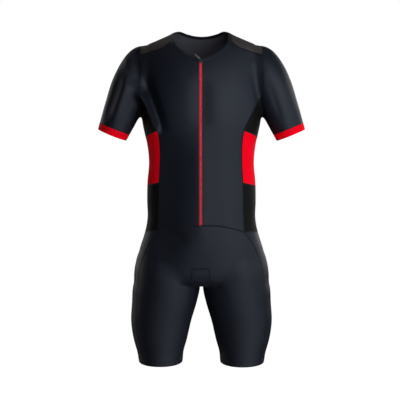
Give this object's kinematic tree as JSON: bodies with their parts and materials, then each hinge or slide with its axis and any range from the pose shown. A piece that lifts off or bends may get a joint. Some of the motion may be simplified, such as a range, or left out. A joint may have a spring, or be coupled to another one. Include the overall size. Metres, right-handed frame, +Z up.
{
  "type": "triathlon suit",
  "caption": "Short-sleeved men's triathlon suit, top and shorts in one, with a front zip, black with red cuffs and side panels, filled out with no wearer.",
  "frame": {"origin": "on the suit's middle line at the height of the shoulder slope, between the shoulders, where the wearer holds it up", "axes": "+Z up, towards the neck; -Y towards the front with the zip; +X towards the wearer's left sleeve"},
  "size_m": [0.583, 0.2486, 0.9417],
  "materials": {
    "black_knit": "smooth stretch knit with a slight sheen",
    "shorts_knit": "dense stretch knit",
    "black_mesh": "open mesh knit, matt",
    "red_knit": "smooth stretch knit",
    "zip_tape": "woven tape",
    "zip_teeth": "moulded teeth",
    "slider_metal": "black enamel",
    "pull_rubber": "soft grey moulding"
  },
  "bodies": {
    "garment": {"back": "black_knit", "cuff_left": "red_knit", "cuff_right": "red_knit", "front_left": "black_knit", "front_right": "black_knit", "gusset": "black_mesh", "leg_band_left": "shorts_knit", "leg_band_right": "shorts_knit", "neck_band": "black_knit", "short_back_left": "shorts_knit", "short_back_right": "shorts_knit", "short_front_left": "shorts_knit", "short_front_right": "shorts_knit", "short_side_left": "shorts_knit", "short_side_right": "shorts_knit", "side_lower_left": "black_mesh", "side_lower_right": "black_mesh", "side_red_left": "red_knit", "side_red_right": "red_knit", "side_upper_left": "black_mesh", "side_upper_right": "black_mesh", "sleeve_left": "black_knit", "sleeve_right": "black_knit", "sleeve_under_left": "black_mesh", "sleeve_under_right": "black_mesh", "yoke_left": "black_mesh", "yoke_right": "black_mesh", "zip_chain": "zip_teeth", "zip_slider": "slider_metal", "zip_tape_left": "zip_tape", "zip_tape_right": "zip_tape"},
    "pull_tab": {"pull_tab": "pull_rubber"}
  },
  "joints": [
    {"name": "pull_tab_hinge", "type": "hinge", "parent": "garment", "child": "pull_tab", "pos_m": [0, -0.09475, -0.05771], "axis": [0.6782, 0.2641, 0.6858], "range_deg": [0, 150]}
  ]
}
